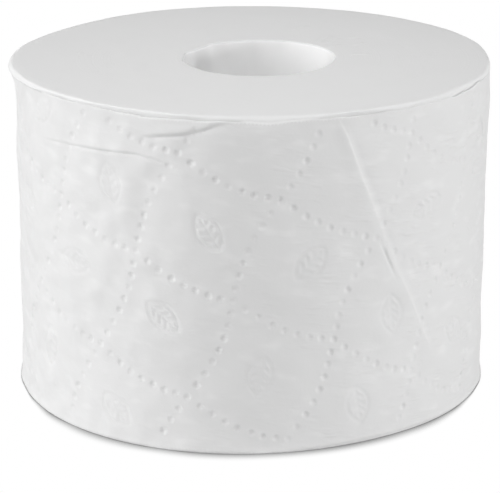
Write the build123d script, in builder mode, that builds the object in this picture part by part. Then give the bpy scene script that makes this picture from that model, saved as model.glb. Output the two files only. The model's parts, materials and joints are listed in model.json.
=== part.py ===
from build123d import *
import math
import os

os.makedirs("parts", exist_ok=True)

# Driving dimensions, in millimetres and degrees.
# The paper: its width is the height of the standing roll.
sheet_width = 93.0
outer_diameter = 133.4
# A coreless roll is wound on a spindle that is drawn out, and its hole settles off centre.
bore_diameter = 43.2
bore_shift = 2.1
bore_mouth = 1.2
# The rims are soft, and the top edge of the outermost sheet sits a little below the end face.
rim_softness = 0.9
outer_sheet_drop = 1.5
outer_sheet_slack = 0.5
# The inner turns have crept back from each end face.
turn_radius = 43.0
turn_creep = 0.5
# The free end of the paper lies on the hidden side, glued down.
tail_angle = 160.0
tail_lift = 0.4
tail_fade = 50.0
# Quilting: dots on a slanted lattice. Its sides across sag between the corners, and those down the roll
# bow to the right and to the left in turn.
cell_across = 29.4
cell_down = 30.2
cell_slant = 24.0
cell_sag = 2.3
dots_per_side = 6
dot_size = 2.0
dot_depth = 0.7
# Place of one corner of the lattice: along the wall from the front, and above the base.
corner_along = -4.9
corner_height = 43.1

outer_radius = outer_diameter / 2
bore_radius = bore_diameter / 2
inner_rim_radius = outer_radius - outer_sheet_slack
outer_sheet_top = sheet_width - outer_sheet_drop
# Cutting tools pass the surface that they open by this much.
overcut = 2 * tail_lift


def wall_place(along: float, height: float) -> Location:
    """Place on the wall: x up the wall, y round it, z straight out of the paper."""
    turn = along / outer_radius
    outward = Vector(math.sin(turn), -math.cos(turn), 0)
    foot = outward * outer_radius + Vector(0, 0, height)
    return Location(Plane(origin=foot, x_dir=(0, 0, 1), z_dir=outward))


def lattice_point(across: float, down: float) -> tuple[float, float]:
    """Along and height of a lattice position, counted in cells from the known corner."""
    slant = math.radians(cell_slant)
    along = corner_along + across * cell_across * math.cos(slant) - down * cell_down * math.sin(slant)
    height = corner_height - across * cell_across * math.sin(slant) - down * cell_down * math.cos(slant)
    return along, height


def cell_dots(column: int, row: int) -> list[tuple[float, float]]:
    """Dots on the upper and the left side of one cell, with the sag or the bow of each side."""
    dots = []
    bow_side = 1 if row % 2 == 0 else -1
    for step in range(dots_per_side):
        share = step / dots_per_side
        sag = cell_sag * 4 * share * (1 - share)
        along, height = lattice_point(column + share, row)
        dots.append((along, height - sag))
        if step > 0:
            along, height = lattice_point(column, row + share)
            dots.append((along + bow_side * sag, height))
    return dots


def quilting_places() -> list[Location]:
    """Every dot of the outer sheet that is clear of its edges and of its free end."""
    reach = math.ceil(math.pi * outer_diameter / min(cell_across, cell_down))
    tail_along = math.radians(tail_angle + 90) * outer_radius
    sheet_start = tail_along - math.pi * outer_diameter + dot_size
    sheet_end = tail_along - dot_size
    lowest = rim_softness + dot_size
    highest = outer_sheet_top - dot_size
    places = []
    for column in range(-reach, reach + 1):
        for row in range(-reach, reach + 1):
            for along, height in cell_dots(column, row):
                if sheet_start < along < sheet_end and lowest < height < highest:
                    places.append(wall_place(along, height))
    return places


# One dot: a notch with a V section, its length up the wall, reaching out past the paper.
dot_flare = dot_size / 2 * (dot_depth + overcut) / dot_depth
with BuildPart() as dot:
    with BuildSketch(Plane.YZ.offset(-dot_size / 2)):
        with BuildLine():
            Polyline((-dot_flare, overcut), (dot_flare, overcut), (0, -dot_depth), close=True)
        make_face()
    extrude(amount=dot_size)


with BuildPart() as paper_roll:
    # The wound body, turned from half of its section.
    with BuildSketch(Plane.XZ):
        with BuildLine():
            Polyline(
                (0, 0),
                (outer_radius - rim_softness, 0),
                (outer_radius, rim_softness),
                (outer_radius, outer_sheet_top),
                (inner_rim_radius, outer_sheet_top),
                (inner_rim_radius, sheet_width - rim_softness),
                (inner_rim_radius - rim_softness, sheet_width),
                (0, sheet_width),
                close=True,
            )
        make_face()
    revolve(axis=Axis.Z)

    # The free end: the last sheet rises from the turn below it to a straight cut edge.
    with BuildSketch(Plane.XY.offset(rim_softness)):
        with BuildLine():
            root = PolarLocations(outer_radius, 1, tail_angle - tail_fade).locations[0].position
            middle = PolarLocations(outer_radius + tail_lift / 2, 1, tail_angle - tail_fade / 2).locations[0].position
            crest = PolarLocations(outer_radius + tail_lift, 1, tail_angle).locations[0].position
            under = PolarLocations(inner_rim_radius, 1, tail_angle).locations[0].position
            ThreePointArc(root, middle, crest)
            Polyline(crest, under, root)
        make_face()
    extrude(amount=outer_sheet_top - rim_softness)

    # Turns that crept back from both ends, centred between the outer circle and the hole.
    turn_share = (outer_radius - turn_radius) / (outer_radius - bore_radius)
    for end, inward in ((sheet_width, -1), (0, 1)):
        with BuildSketch(Plane.XY.offset(end)):
            with Locations((bore_shift * turn_share, 0)):
                Circle(turn_radius)
        extrude(amount=inward * turn_creep, mode=Mode.SUBTRACT)

    # The hole, with soft mouths.
    with Locations((bore_shift, 0)):
        Hole(bore_radius)
    chamfer(paper_roll.edges(Select.LAST).filter_by(GeomType.CIRCLE), bore_mouth)

    # The quilting.
    with Locations(*quilting_places()):
        add(dot.part, mode=Mode.SUBTRACT)

paper_roll.part.label = "paper_roll"
export_step(paper_roll.part, "parts/paper_roll.step")
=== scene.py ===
"""A coreless toilet paper roll that stands on its end: one long strip of quilted tissue, wound on itself.

The strip is laid out flat first, as along (round the roll, from its front) and height (above the base).
Dots and leaves are stamped in it on the flat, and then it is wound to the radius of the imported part.
"""

import json
import logging
import math
from dataclasses import dataclass
from enum import Enum
from functools import partial

import bmesh
import bpy
import numpy as np
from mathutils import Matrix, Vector, geometry, noise

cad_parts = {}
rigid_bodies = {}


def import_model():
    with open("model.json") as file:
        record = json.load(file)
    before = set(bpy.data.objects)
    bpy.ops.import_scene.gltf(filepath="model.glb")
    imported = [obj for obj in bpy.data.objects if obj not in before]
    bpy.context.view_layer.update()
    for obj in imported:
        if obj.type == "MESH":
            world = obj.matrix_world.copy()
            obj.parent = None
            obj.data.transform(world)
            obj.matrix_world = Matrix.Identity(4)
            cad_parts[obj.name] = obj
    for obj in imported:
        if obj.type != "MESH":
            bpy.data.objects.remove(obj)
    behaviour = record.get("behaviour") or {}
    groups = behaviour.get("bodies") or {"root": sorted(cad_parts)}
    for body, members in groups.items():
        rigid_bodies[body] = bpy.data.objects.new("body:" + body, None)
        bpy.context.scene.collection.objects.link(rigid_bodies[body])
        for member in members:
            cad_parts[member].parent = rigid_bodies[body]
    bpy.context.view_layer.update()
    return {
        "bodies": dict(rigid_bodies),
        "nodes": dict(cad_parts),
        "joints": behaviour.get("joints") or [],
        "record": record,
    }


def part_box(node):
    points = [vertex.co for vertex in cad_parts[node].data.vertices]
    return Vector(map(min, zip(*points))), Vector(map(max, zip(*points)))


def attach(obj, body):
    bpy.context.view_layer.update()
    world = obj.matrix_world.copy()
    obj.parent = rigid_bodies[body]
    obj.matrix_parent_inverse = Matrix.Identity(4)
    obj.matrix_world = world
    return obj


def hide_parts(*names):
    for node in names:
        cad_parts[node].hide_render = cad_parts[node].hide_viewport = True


MM = 0.001
NODE = "paper_roll"
LOG = logging.getLogger("roll")
# Steps of each rounding, and how near to each other the mesher takes two points for one, in mm.
ROUND_STEPS = 5
MESH_MARGIN = 1e-6


def linear(colour: str) -> tuple[float, float, float, float]:
    """Turns an sRGB hex colour to linear light.

    Args:
        colour: The colour as "#RRGGBB".

    Returns:
        Red, green and blue in linear light, and an alpha of 1.
    """
    parts = [int(colour[i:i + 2], 16) / 255 for i in (1, 3, 5)]
    light = [c / 12.92 if c <= 0.04045 else ((c + 0.055) / 1.055) ** 2.4 for c in parts]
    return light[0], light[1], light[2], 1.0


def add_node(
    tree: bpy.types.NodeTree, kind: str, inputs: dict | None = None, **settings: object
) -> bpy.types.Node:
    """Adds a node with its settings and links.

    Args:
        tree: The tree that the node joins.
        kind: The node's type name.
        inputs: Input names or numbers, each with its value, or with the socket or the node that feeds it. A
            node feeds it from its first output.
        **settings: Properties of the node, set before its inputs.

    Returns:
        The new node.
    """
    made = tree.nodes.new(kind)
    for name, value in settings.items():
        setattr(made, name, value)
    for key, value in (inputs or {}).items():
        if isinstance(value, bpy.types.Node):
            value = value.outputs[0]
        if isinstance(value, bpy.types.NodeSocket):
            tree.links.new(value, made.inputs[key])
        else:
            made.inputs[key].default_value = value
    return made


def empty_tree(owner: bpy.types.ID) -> bpy.types.NodeTree:
    """Switches on the nodes of a material or a world, and clears them.

    Args:
        owner: The material or the world.

    Returns:
        Its empty tree.
    """
    owner.use_nodes = True
    owner.node_tree.nodes.clear()
    return owner.node_tree


def placed(name: str, data: bpy.types.ID) -> bpy.types.Object:
    """Puts data in the scene.

    Args:
        name: The name of its object.
        data: A mesh, lamp or camera.

    Returns:
        The object.
    """
    made = bpy.data.objects.new(name, data)
    bpy.context.scene.collection.objects.link(made)
    return made


def line_object(name: str, lines: list[list[tuple[float, float]]]) -> bpy.types.Object:
    """Draws lines on the flat strip.

    Args:
        name: The object's name.
        lines: The lines, each a list of places.

    Returns:
        An object that holds only vertices and edges.
    """
    places = [(x, y, 0.0) for line in lines for x, y in line]
    starts = set(np.cumsum([len(line) for line in lines]).tolist())
    data = bpy.data.meshes.new(name)
    data.from_pydata(places, [(i - 1, i) for i in range(1, len(places)) if i not in starts], [])
    return placed(name, data)


def run_tree(host: bpy.types.Object, tree: bpy.types.GeometryNodeTree, values: dict[str, object]) -> None:
    """Runs a Geometry Nodes tree on an object and leaves the result as its plain mesh.

    Args:
        host: The object.
        tree: The tree.
        values: Each input's value by name.
    """
    modifier = host.modifiers.new(tree.name, "NODES")
    modifier.node_group = tree
    for item in tree.interface.items_tree:
        if item.in_out == "INPUT" and item.name in values:
            modifier[item.identifier] = values[item.name]
    evaluated = host.evaluated_get(bpy.context.evaluated_depsgraph_get())
    result = bpy.data.meshes.new_from_object(evaluated)
    host.modifiers.remove(modifier)
    spare = host.data
    host.data = result
    bpy.data.meshes.remove(spare)
    result.name = host.name
    bpy.data.node_groups.remove(tree)


def smooth(value: np.ndarray) -> np.ndarray:
    """Eases values from 0 to 1, and holds them outside that range."""
    held = np.clip(value, 0.0, 1.0)
    return held * held * (3 - 2 * held)


def from_front(angle: np.ndarray) -> np.ndarray:
    """Counts angles from the roll's front, by half a turn at most to each side."""
    return (angle + math.pi) % (2 * math.pi) - math.pi


def quarter(steps: int) -> list[float]:
    """Angles of a quarter circle in even steps, with both ends."""
    return [math.pi / 2 * step / steps for step in range(steps + 1)]


def paired(along: np.ndarray | float, height: np.ndarray | float) -> np.ndarray:
    """Pairs places along with heights, one of which may be a single number."""
    return np.stack(np.broadcast_arrays(along, height), 1)


def wound(angle: np.ndarray, radius: np.ndarray, height: np.ndarray) -> np.ndarray:
    """Turns angle from the front, radius and height to points."""
    return np.stack([radius * np.sin(angle), -radius * np.cos(angle), height], 1)


def encloses(ring: np.ndarray, place: np.ndarray) -> bool:
    """Tells whether a closed ring of corners goes round a place.

    Args:
        ring: The corners, one a row.
        place: The place.

    Returns:
        True when the ring encloses it.
    """
    rise = ring - place
    after = np.roll(rise, -1, axis=0)
    crossing = (rise[:, 1] > 0) != (after[:, 1] > 0)
    rise, after = rise[crossing], after[crossing]
    reach = rise[:, 0] - rise[:, 1] * (after[:, 0] - rise[:, 0]) / (after[:, 1] - rise[:, 1])
    return int((reach > 0).sum()) % 2 == 1


@dataclass(frozen=True)
class Swell:
    """A change that is greatest at one turn from the front and fades to both sides, in degrees."""

    amount: float
    turn: float
    width: float

    def at(self, turned: np.ndarray) -> np.ndarray:
        """Gives the change at angles from the front."""
        return self.amount * np.exp(-(((turned - math.radians(self.turn)) / math.radians(self.width)) ** 2))


@dataclass(frozen=True)
class Drift:
    """Slow, smooth chance, of about the amount either way, in patches of one size."""

    amount: float
    size: float
    seed: float

    def at(self, places: np.ndarray) -> np.ndarray:
        """Gives the chance at points, one a row."""
        offset = Vector((self.seed, -self.seed, self.seed / 2))
        return self.amount * np.array([noise.noise(Vector(p) / self.size + offset) for p in places])


@dataclass(frozen=True)
class RollSize:
    """The roll's own sizes, in metres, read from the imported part."""

    radius: float
    height: float
    bore_radius: float
    bore_shift: float

    @classmethod
    def from_frame(cls, frame: dict) -> "RollSize":
        """Reads the outer size from the part's box and the hole from its mount.


        Returns:
            The sizes.
        """
        low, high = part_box(NODE)
        hole = next(m for m in frame["record"]["mounts"] if m["name"] == "hole")
        return cls((high.x - low.x) / 2, high.z, hole["dims"]["r_mm"] * MM, hole["pos_m"][0])

    @property
    def girth(self) -> float:
        """Length of the outermost turn."""
        return 2 * math.pi * self.radius

    def circle(self, angle: np.ndarray) -> np.ndarray:
        """Places round the wall at which chance is read."""
        return np.stack([np.sin(angle), np.cos(angle), 0 * angle], 1) * self.radius


@dataclass(frozen=True)
class Crease:
    """A fold line in the outer turn, as places along the strip and above the base, in mm.

    The ridge follows the line, with its own width on the right and on the left of the line's direction. The
    hollow lies beside it: hollow_side is its distance from the line, positive to the left. Both fade out over
    the taper, a share of the line at each end, and a ridge that starts narrow is at its width by widens_by.
    The mesh has rows of points beside the line, at the distances that rows gives in mm.
    """

    line: tuple[tuple[float, float], ...]
    ridge: float
    ridge_widths: tuple[float, float]
    hollow: float
    hollow_width: float
    hollow_side: float
    taper: float
    narrow_start: float = 1.0
    widens_by: float = 0.5
    rows: tuple[float, ...] = (0.0, 0.3, 0.6, 0.9, 1.3, 1.8)
    step: float = 0.8 * MM

    @property
    def stretches(self) -> list[tuple[np.ndarray, np.ndarray]]:
        """The line's straight stretches, each as its two ends on the strip."""
        corners = np.array(self.line) * MM
        return list(zip(corners, corners[1:]))

    def object(self) -> bpy.types.Object:
        """Lays the line on the flat strip as an object of edges."""
        return line_object("crease_line", [[(x * MM, y * MM) for x, y in self.line]])

    def places(self) -> np.ndarray:
        """Spreads rows of places along the crease, closest at its line.

        Returns:
            The places.
        """
        found = []
        for first, second in self.stretches:
            length = np.hypot(*(second - first))
            ahead = (second - first) / length
            aside = np.array([-ahead[1], ahead[0]])
            for step in range(max(round(length / self.step), 1)):
                for row in self.rows:
                    for side in (-1, 1) if row else (1,):
                        found.append(first + ahead * self.step * step + aside * side * row * MM)
        return np.array(found)

    def _nearest(self, along: np.ndarray, height: np.ndarray) -> tuple[np.ndarray, np.ndarray]:
        """Measures from places to the line.

        Args:
            along: Places along the strip.
            height: Their heights.

        Returns:
            The signed distance, positive to the left, and the nearest point's share of the line's length.
        """
        best = np.full(along.shape, np.inf)
        signed, run = np.zeros(along.shape), np.zeros(along.shape)
        passed = 0.0
        for first, second in self.stretches:
            dx, dy = second - first
            length = math.hypot(dx, dy)
            px, py = along - first[0], height - first[1]
            share = np.clip((px * dx + py * dy) / length ** 2, 0.0, 1.0)
            gap = np.hypot(px - share * dx, py - share * dy)
            nearer = gap < best
            best[nearer] = gap[nearer]
            signed[nearer] = (gap * np.sign(dx * py - dy * px))[nearer]
            run[nearer] = (passed + share * length)[nearer]
            passed += length
        return signed, run / passed

    def relief(self, along: np.ndarray, height: np.ndarray) -> np.ndarray:
        """Works out how far the crease lifts the paper.

        Args:
            along: Places along the strip.
            height: Their heights.

        Returns:
            The lift of each place, negative in the hollow.
        """
        signed, run = self._nearest(along, height)
        strength = smooth(np.minimum(run, 1 - run) / self.taper)
        width = self.narrow_start + (1 - self.narrow_start) * smooth(run / self.widens_by)
        lift = self.ridge * np.exp(-((signed / (width * np.where(signed < 0, *self.ridge_widths))) ** 2))
        sink = self.hollow * np.exp(-(((signed - self.hollow_side) / self.hollow_width) ** 2))
        return strength * (lift - sink)


PLEAT = Crease(
    line=(
        (21.6, 93.5), (25.1, 86.2), (29.3, 74.7), (34.0, 63.5), (36.8, 56.0), (41.9, 45.2), (48.9, 31.7),
        (55.6, 19.0),
    ),
    ridge=0.42 * MM, ridge_widths=(4.5 * MM, 1.0 * MM),
    hollow=0.06 * MM, hollow_width=0.5 * MM, hollow_side=1.9 * MM, taper=0.12, narrow_start=0.35,
)
PLEAT_TUCK = Crease(
    line=((34.6, 59.0), (36.3, 55.0), (38.6, 50.0), (41.2, 44.6)),
    ridge=0.0, ridge_widths=(1.0 * MM, 1.0 * MM),
    hollow=0.4 * MM, hollow_width=0.35 * MM, hollow_side=-0.15 * MM, taper=0.4,
)
LONG_WRINKLE = Crease(
    line=(
        (-70.0, 79.2), (-61.0, 80.2), (-55.0, 80.5), (-44.0, 81.2), (-31.0, 81.7), (-25.8, 80.8),
        (-17.0, 78.6),
    ),
    ridge=0.2 * MM, ridge_widths=(0.5 * MM, 2.0 * MM),
    hollow=0.32 * MM, hollow_width=0.34 * MM, hollow_side=-0.7 * MM, taper=0.3,
)
RIM_FOLD = Crease(
    line=(
        (-31.5, 85.2), (-30.0, 86.6), (-24.0, 87.5), (-17.6, 88.4), (-12.9, 90.0), (-9.2, 91.4), (-4.0, 92.6),
    ),
    ridge=0.3 * MM, ridge_widths=(0.7 * MM, 2.0 * MM),
    hollow=0.42 * MM, hollow_width=0.6 * MM, hollow_side=-0.9 * MM, taper=0.3,
)
SIDE_WRINKLE = Crease(
    line=((79.4, 91.0), (80.4, 87.0), (79.8, 83.5), (77.6, 80.5), (76.2, 76.5), (76.8, 71.5)),
    ridge=0.4 * MM, ridge_widths=(1.1 * MM, 0.5 * MM),
    hollow=0.75 * MM, hollow_width=0.5 * MM, hollow_side=1.0 * MM, taper=0.25,
)
SIDE_TUCK = Crease(
    line=((82.0, 82.5), (83.8, 79.0), (84.4, 75.0), (83.2, 70.5)),
    ridge=0.3 * MM, ridge_widths=(0.5 * MM, 0.9 * MM),
    hollow=0.7 * MM, hollow_width=0.5 * MM, hollow_side=-0.9 * MM, taper=0.3,
)


@dataclass(frozen=True)
class Lattice:
    """The quilting's slanted cells on the flat strip.

    The sides that run across hang like garlands. Those that run down wave to the right and to the left in
    turn. Toward the sides of the roll the paper is pulled: pull and drop are reached between the two places
    of each pair.
    """

    across: float = 29.4 * MM
    down: float = 30.2 * MM
    slant: float = math.radians(24)
    sag: float = 2.3 * MM
    dots_per_side: int = 8
    corner: tuple[float, float] = (-4.9 * MM, 43.1 * MM)
    pull: float = 4.0 * MM
    pull_reach: tuple[float, float] = (25 * MM, 80 * MM)
    drop: float = 2.0 * MM
    drop_reach: tuple[float, float] = (15 * MM, 65 * MM)
    columns: int = 20
    rows: int = 12


@dataclass(frozen=True)
class LeafMotif:
    """A plain leaf of the builder's own drawing: a pointed oval, a rib and slanted veins.

    The rib and the veins are placed by shares of the leaf's length from its middle, and the veins spread by a
    share of its width.
    """

    length: float = 11.0 * MM
    width: float = 6.4 * MM
    roundness: float = 0.8
    outline_steps: int = 14
    rib_end: float = 0.36
    vein_pairs: int = 3
    first_vein: float = -0.28
    vein_step: float = 0.2
    vein_run: float = 0.13
    vein_spread: float = 0.27

    def object(self) -> bpy.types.Object:
        """Draws the leaf as edges, flat and round the origin.

        Returns:
            An object that holds only vertices and edges.
        """
        lines = []
        for side in (-1, 1):
            outline = []
            for step in range(self.outline_steps + 1):
                share = step / self.outline_steps
                bow = math.sin(math.pi * share) ** self.roundness
                outline.append(((share - 0.5) * self.length, side * self.width / 2 * bow))
            lines.append(outline)
        lines.append([(-0.5 * self.length, 0.0), (self.rib_end * self.length, 0.0)])
        for pair in range(self.vein_pairs):
            foot = (self.first_vein + self.vein_step * pair) * self.length
            for side in (-1, 1):
                tip = (foot + self.vein_run * self.length, side * self.vein_spread * self.width)
                lines.append([(foot, 0.0), tip])
        return line_object("leaf_outline", lines)


class Stamp(Enum):
    """What is pressed in the paper."""

    DOTS = "quilting_dots"
    LEAVES = "quilting_leaves"


class Side(Enum):
    """Which sides of the cells a row of dots follows, by the axis that counts its steps."""

    ACROSS = 0
    DOWN = 1


@dataclass(frozen=True)
class Quilting:
    """Stamps of the whole outer turn, made on the flat strip by Geometry Nodes.

    Chance turns and shifts each leaf, shifts each dot a little, and gives each stamp its force between two
    limits, because no two are pressed alike.
    """

    size: RollSize
    strip_start: float
    lattice: Lattice = Lattice()
    leaf: LeafMotif = LeafMotif()
    turn_seed: int = 7
    wander_seed: int = 8
    wander: float = 2.5 * MM
    stray_seed: int = 9
    stray: float = 0.15 * MM
    force_seed: int = 10
    dot_force: tuple[float, float] = (0.45, 1.2)
    leaf_force: tuple[float, float] = (0.55, 1.2)
    same_dot: float = 0.2 * MM
    edge_clearance: float = 2.6 * MM
    pleat_clearance: float = 5.0 * MM

    def _new_tree(self, stamp: Stamp) -> tuple[bpy.types.GeometryNodeTree, bpy.types.Node, dict[str, object]]:
        """Starts a tree with its named inputs.

        Args:
            stamp: What it makes.

        Returns:
            The tree, its group input node, and each input's value by name.
        """
        half_length, half_width = self.size.girth / 2, self.size.height / 2
        values = {
            "Cell": (self.lattice.across, -self.lattice.down, 1.0),
            "Slant": -self.lattice.slant,
            "Garland": (0.0, -self.lattice.sag, 0.0),
            "Wave": (self.lattice.sag, 0.0, 0.0),
            "Corner": (*self.lattice.corner, 0.0),
            "Pull": (-self.lattice.pull, 0.0, 0.0),
            "Drop": (0.0, -self.lattice.drop, 0.0),
            "Strip centre": (self.strip_start + half_length, half_width, 0.0),
            "Half length": half_length - self.edge_clearance,
            "Half width": half_width - self.edge_clearance,
        }
        tree = bpy.data.node_groups.new(stamp.value, "GeometryNodeTree")
        tree.interface.new_socket("Geometry", in_out="OUTPUT", socket_type="NodeSocketGeometry")
        for name, value in values.items():
            kind = "NodeSocketFloat" if isinstance(value, float) else "NodeSocketVector"
            tree.interface.new_socket(name, in_out="INPUT", socket_type=kind)
        return tree, add_node(tree, "NodeGroupInput"), values

    def _shifted(
        self, tree: bpy.types.GeometryNodeTree, place: bpy.types.Node, way: bpy.types.NodeSocket,
        share: bpy.types.Node,
    ) -> bpy.types.Node:
        """Adds a share of a way to a place.

        Args:
            tree: The tree.
            place: The node that gives the place.
            way: The whole way.
            share: The node that gives how much of it is added.

        Returns:
            The node that gives the new place.
        """
        part = add_node(tree, "ShaderNodeVectorMath", {0: way, "Scale": share}, operation="SCALE")
        return add_node(tree, "ShaderNodeVectorMath", {0: place, 1: part})

    def _laid(
        self, tree: bpy.types.GeometryNodeTree, given: bpy.types.Node, cells: tuple[int, int],
        steps: tuple[int, int], side: Side | None,
    ) -> bpy.types.Node:
        """Lays a grid of places on the strip, and drops those off it.

        Args:
            tree: The tree.
            given: Its group input node.
            cells: How many cells the grid has across and down.
            steps: How many steps a cell has across and down.
            side: Which sides the places follow, with their bow, or None for places without a bow.

        Returns:
            The node that gives the places.
        """
        add = partial(add_node, tree)
        counts = [cell * step + 1 for cell, step in zip(cells, steps)]
        grid = add(
            "GeometryNodeMeshGrid",
            {"Size X": cells[0], "Size Y": cells[1], "Vertices X": counts[0], "Vertices Y": counts[1]},
        )
        spot = add("GeometryNodeInputPosition")
        cell = add("ShaderNodeVectorMath", {0: spot, 1: given.outputs["Cell"]}, operation="MULTIPLY")
        turned = add(
            "ShaderNodeVectorRotate", {"Vector": cell, "Angle": given.outputs["Slant"]},
            rotation_type="Z_AXIS",
        )
        place = add("ShaderNodeVectorMath", {0: turned, 1: given.outputs["Corner"]})
        if side is not None:
            counted = add("ShaderNodeSeparateXYZ", {0: spot}).outputs[side.value]
            turns = add("ShaderNodeMath", {0: counted, 1: math.pi}, operation="MULTIPLY")
            bow = add("ShaderNodeMath", {0: turns}, operation="SINE")
            if side is Side.ACROSS:
                bow = add("ShaderNodeMath", {0: bow}, operation="ABSOLUTE")
            way = given.outputs["Garland" if side is Side.ACROSS else "Wave"]
            place = self._shifted(tree, place, way, bow)
        along = add("ShaderNodeSeparateXYZ", {0: place})
        off_front = add("ShaderNodeMath", {0: along}, operation="ABSOLUTE")
        pulls = (("Pull", along, self.lattice.pull_reach), ("Drop", off_front, self.lattice.drop_reach))
        for way, far, (start, end) in pulls:
            share = add(
                "ShaderNodeMapRange", {"Value": far, "From Min": start, "From Max": end},
                interpolation_type="SMOOTHSTEP",
            )
            place = self._shifted(tree, place, given.outputs[way], share)
        moved = add("GeometryNodeSetPosition", {"Geometry": grid, "Position": place})
        away = add("ShaderNodeVectorMath", {0: spot, 1: given.outputs["Strip centre"]}, operation="SUBTRACT")
        away = add("ShaderNodeVectorMath", {0: away}, operation="ABSOLUTE")
        parts = add("ShaderNodeSeparateXYZ", {0: away})
        past = [
            add("ShaderNodeMath", {0: parts.outputs[axis], 1: given.outputs[limit]}, operation="GREATER_THAN")
            for axis, limit in enumerate(("Half length", "Half width"))
        ]
        off = add("ShaderNodeMath", {0: past[0], 1: past[1]}, operation="MAXIMUM")
        return add("GeometryNodeDeleteGeometry", {"Geometry": moved, "Selection": off})

    def _strayed(
        self, tree: bpy.types.GeometryNodeTree, places: bpy.types.Node, reach: float, seed: int
    ) -> bpy.types.Node:
        """Shifts places by chance.

        Args:
            tree: The tree.
            places: The node that gives the places.
            reach: The furthest shift along and in height.
            seed: Seed of the chance.

        Returns:
            The node that gives the shifted places.
        """
        shift = add_node(
            tree, "FunctionNodeRandomValue",
            {"Min": (-reach, -reach, 0.0), "Max": (reach, reach, 0.0), "Seed": seed},
            data_type="FLOAT_VECTOR",
        )
        return add_node(tree, "GeometryNodeSetPosition", {"Geometry": places, "Offset": shift})

    def _finish(
        self, tree: bpy.types.GeometryNodeTree, stamps: bpy.types.Node, limits: tuple[float, float],
        domain: str,
    ) -> None:
        """Gives each stamp its force and ends the tree.

        Args:
            tree: The tree.
            stamps: The node that gives the stamps.
            limits: Least and most force.
            domain: What one stamp is, a point or an instance.
        """
        add = partial(add_node, tree)
        chance = add(
            "FunctionNodeRandomValue", {2: limits[0], 3: limits[1], "Seed": self.force_seed},
            data_type="FLOAT",
        )
        forced = add(
            "GeometryNodeStoreNamedAttribute",
            {"Geometry": stamps, "Name": "force", "Value": chance.outputs[1]},
            data_type="FLOAT", domain=domain,
        )
        add("NodeGroupOutput", {0: add("GeometryNodeRealizeInstances", {0: forced})})

    def _dots_tree(self) -> tuple[bpy.types.GeometryNodeTree, dict[str, object]]:
        """Builds the tree that sets a dot at each step of the cells' sides.

        Returns:
            The tree and its inputs' values.
        """
        tree, given, values = self._new_tree(Stamp.DOTS)
        joined = add_node(tree, "GeometryNodeJoinGeometry")
        cells, dots = (self.lattice.columns, self.lattice.rows), self.lattice.dots_per_side
        for side, steps in ((Side.ACROSS, (dots, 1)), (Side.DOWN, (1, dots))):
            laid = self._laid(tree, given, cells, steps, side)
            tree.links.new(laid.outputs[0], joined.inputs[0])
        single = add_node(
            tree, "GeometryNodeMergeByDistance", {"Geometry": joined, "Distance": self.same_dot}
        )
        strayed = self._strayed(tree, single, self.stray, self.stray_seed)
        self._finish(tree, strayed, self.dot_force, "POINT")
        return tree, values

    def _leaves_tree(
        self, leaf: bpy.types.Object, pleat: bpy.types.Object
    ) -> tuple[bpy.types.GeometryNodeTree, dict[str, object]]:
        """Builds the tree that sets one turned leaf in each cell, clear of the pleat.

        Args:
            leaf: The leaf's outline.
            pleat: The pleat's line.

        Returns:
            The tree and its inputs' values.
        """
        tree, given, values = self._new_tree(Stamp.LEAVES)
        add = partial(add_node, tree)
        laid = self._laid(tree, given, (self.lattice.columns - 1, self.lattice.rows - 1), (1, 1), None)
        laid = self._strayed(tree, laid, self.wander, self.wander_seed)
        fold = add("GeometryNodeObjectInfo", {"Object": pleat}).outputs["Geometry"]
        gap = add("GeometryNodeProximity", {"Geometry": fold}, target_element="EDGES").outputs["Distance"]
        near = add("ShaderNodeMath", {0: gap, 1: self.pleat_clearance}, operation="LESS_THAN")
        laid = add("GeometryNodeDeleteGeometry", {"Geometry": laid, "Selection": near})
        motif = add("GeometryNodeObjectInfo", {"Object": leaf}).outputs["Geometry"]
        turn = add(
            "FunctionNodeRandomValue",
            {"Min": (0.0, 0.0, -math.pi), "Max": (0.0, 0.0, math.pi), "Seed": self.turn_seed},
            data_type="FLOAT_VECTOR",
        )
        leaves = add("GeometryNodeInstanceOnPoints", {"Points": laid, "Instance": motif, "Rotation": turn})
        self._finish(tree, leaves, self.leaf_force, "INSTANCE")
        return tree, values

    def object(self, stamp: Stamp) -> bpy.types.Object:
        """Makes one kind of stamp as a plain mesh on the flat strip.

        Args:
            stamp: Which kind.

        Returns:
            The stamp's object: points for dots, edges for leaves.
        """
        spare = [self.leaf.object(), PLEAT.object()] if stamp is Stamp.LEAVES else []
        tree, values = self._leaves_tree(*spare) if spare else self._dots_tree()
        host = placed(stamp.value, bpy.data.meshes.new(stamp.value))
        run_tree(host, tree, values)
        for used in spare:
            bpy.data.objects.remove(used)
        return host


@dataclass(frozen=True)
class Finish:
    """What both paper finishes have: fibres with hardly any gloss, and layers of fine relief."""

    name: str
    roughness: float
    specular: float

    def _surface(self, add: partial) -> tuple[object, list[tuple]]:
        """Adds the nodes of the finish's own colour and relief.

        Args:
            add: Adds a node to the material's tree.

        Returns:
            The colour, and each layer of relief as its height, depth and strength.
        """
        raise NotImplementedError

    def material(self) -> bpy.types.Material:
        """Lays the relief's layers one on the other, under one shader.

        Returns:
            The material.
        """
        made = bpy.data.materials.new(self.name)
        tree = empty_tree(made)
        colour, layers = self._surface(partial(add_node, tree))
        relief = {}
        for height, depth, strength in layers:
            layer = {"Height": height, "Distance": depth, "Strength": strength}
            relief = {"Normal": add_node(tree, "ShaderNodeBump", {**layer, **relief})}
        gloss = {"Roughness": self.roughness, "Specular IOR Level": self.specular}
        shader = add_node(tree, "ShaderNodeBsdfPrincipled", {"Base Color": colour, **gloss, **relief})
        add_node(tree, "ShaderNodeOutputMaterial", {"Surface": shader})
        return made


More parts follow.
